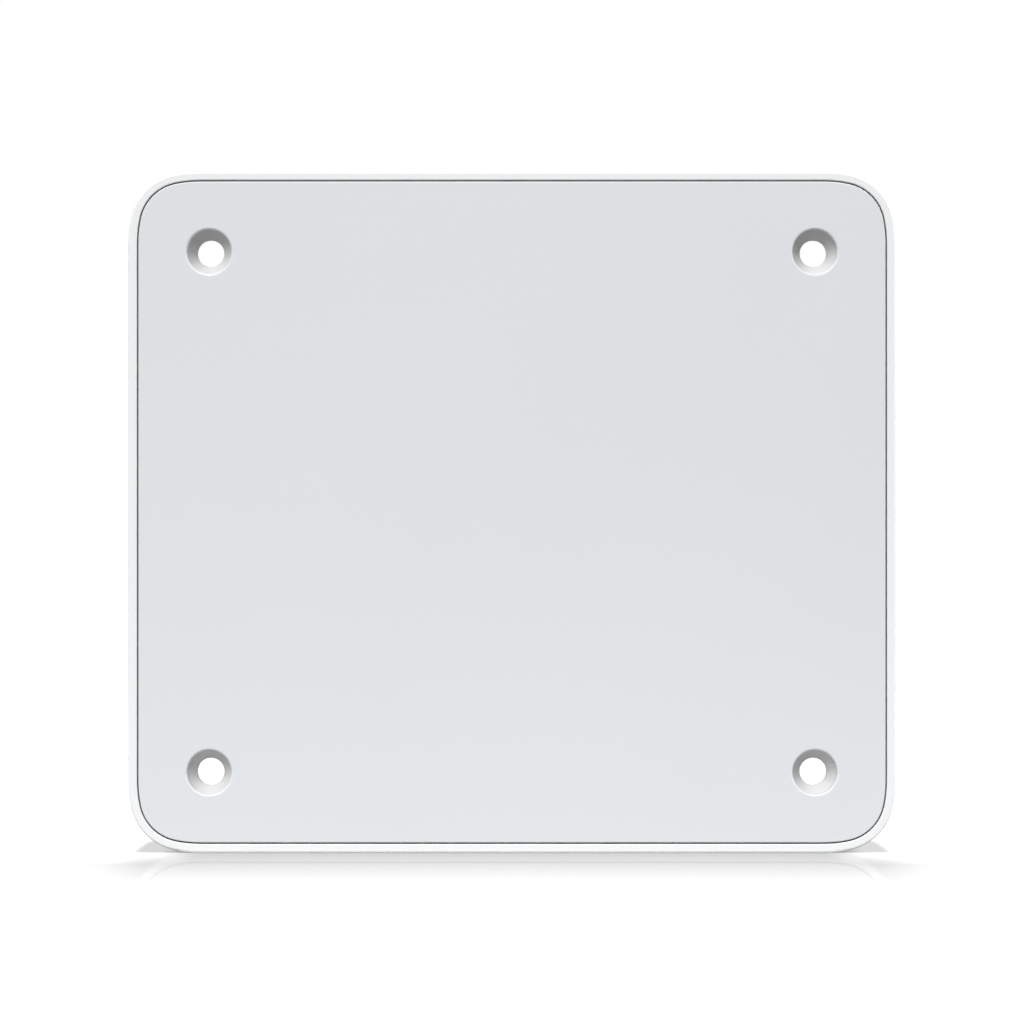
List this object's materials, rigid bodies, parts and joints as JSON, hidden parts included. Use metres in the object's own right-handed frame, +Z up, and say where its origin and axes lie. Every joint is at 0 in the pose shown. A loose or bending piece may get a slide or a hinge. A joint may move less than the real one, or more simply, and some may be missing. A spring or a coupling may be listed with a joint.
{
  "type": "ceiling access point",
  "caption": "Slim white wireless access point for a ceiling, with rounded corners, an inset front panel and a countersunk screw hole at each corner.",
  "frame": {"origin": "on the ceiling plane, at the middle of the four mounting holes", "axes": "+Y points into the ceiling, the front looks along -Y; +X runs across the width and +Z up the height of the front face"},
  "size_m": [0.129, 0.022, 0.1146],
  "materials": {
    "housing_white": "satin",
    "panel_white": "satin, fine grain",
    "gasket_foam": "matte foam",
    "zinc_steel": "zinc plated",
    "label_film": "satin film, blank",
    "board_laminate": "solder mask",
    "cast_aluminium": "as cast",
    "sleeve_aluminium": "machined",
    "can_aluminium": "sleeved can",
    "tinned_steel": "tin plated",
    "pad_silicone": "matte",
    "chip_epoxy": "moulded",
    "black_plastic": "moulded",
    "gold_plate": "gold plated",
    "nickel_brass": "nickel plated",
    "ferrite": "pressed and fired",
    "winding_tape": "polyester tape",
    "capacitor_ceramic": "fired",
    "led_resin": "clear resin",
    "clear_acrylic": "frosted",
    "plunger_plastic": "moulded",
    "button_grey": "moulded",
    "cable_jacket": "fluoropolymer jacket"
  },
  "bodies": {
    "access_point": {"antenna_2ghz_lower": "nickel_brass", "antenna_2ghz_upper": "nickel_brass", "antenna_5ghz_lower": "nickel_brass", "antenna_5ghz_upper": "nickel_brass", "antenna_cable_2ghz_lower": "cable_jacket", "antenna_cable_2ghz_upper": "cable_jacket", "antenna_cable_5ghz_lower": "cable_jacket", "antenna_cable_5ghz_upper": "cable_jacket", "antenna_carrier_2ghz_lower": "black_plastic", "antenna_carrier_2ghz_upper": "black_plastic", "antenna_carrier_5ghz_lower": "black_plastic", "antenna_carrier_5ghz_upper": "black_plastic", "antenna_plugs": "gold_plate", "antenna_sockets": "gold_plate", "board_screws": "zinc_steel", "bulk_capacitors": "can_aluminium", "case_screws": "zinc_steel", "chip_pads": "pad_silicone", "crystal": "tinned_steel", "ethernet_chip": "chip_epoxy", "flash_chip": "chip_epoxy", "front_panel": "panel_white", "heat_sink": "cast_aluminium", "heat_sink_screws": "zinc_steel", "housing_tray": "housing_white", "jack_contacts": "gold_plate", "jack_insert": "black_plastic", "jack_shell": "tinned_steel", "lan_transformer": "chip_epoxy", "light_guide": "clear_acrylic", "main_board": "board_laminate", "memory_chips": "chip_epoxy", "mounting_sleeve_lower_left": "sleeve_aluminium", "mounting_sleeve_lower_right": "sleeve_aluminium", "mounting_sleeve_upper_left": "sleeve_aluminium", "mounting_sleeve_upper_right": "sleeve_aluminium", "panel_gasket": "gasket_foam", "poe_bobbin": "black_plastic", "poe_controller": "chip_epoxy", "poe_transformer": "ferrite", "poe_winding": "winding_tape", "power_amplifiers": "chip_epoxy", "power_inductors": "ferrite", "processor_chip": "chip_epoxy", "processor_shield": "tinned_steel", "radio_chip_2ghz": "chip_epoxy", "radio_chip_5ghz": "chip_epoxy", "radio_shield_2ghz": "tinned_steel", "radio_shield_5ghz": "tinned_steel", "rating_label": "label_film", "reset_switch": "black_plastic", "small_components": "capacitor_ceramic", "status_led": "led_resin", "thermal_pads": "pad_silicone"},
    "reset_plunger": {"reset_button": "button_grey", "switch_plunger": "plunger_plastic"}
  },
  "joints": [
    {"name": "reset_press", "type": "slide", "parent": "access_point", "child": "reset_plunger", "axis": [0, -1, 0], "range_m": [0, 0.0005], "stiffness_N_per_m": 1500, "springref_m": -0.0003}
  ]
}
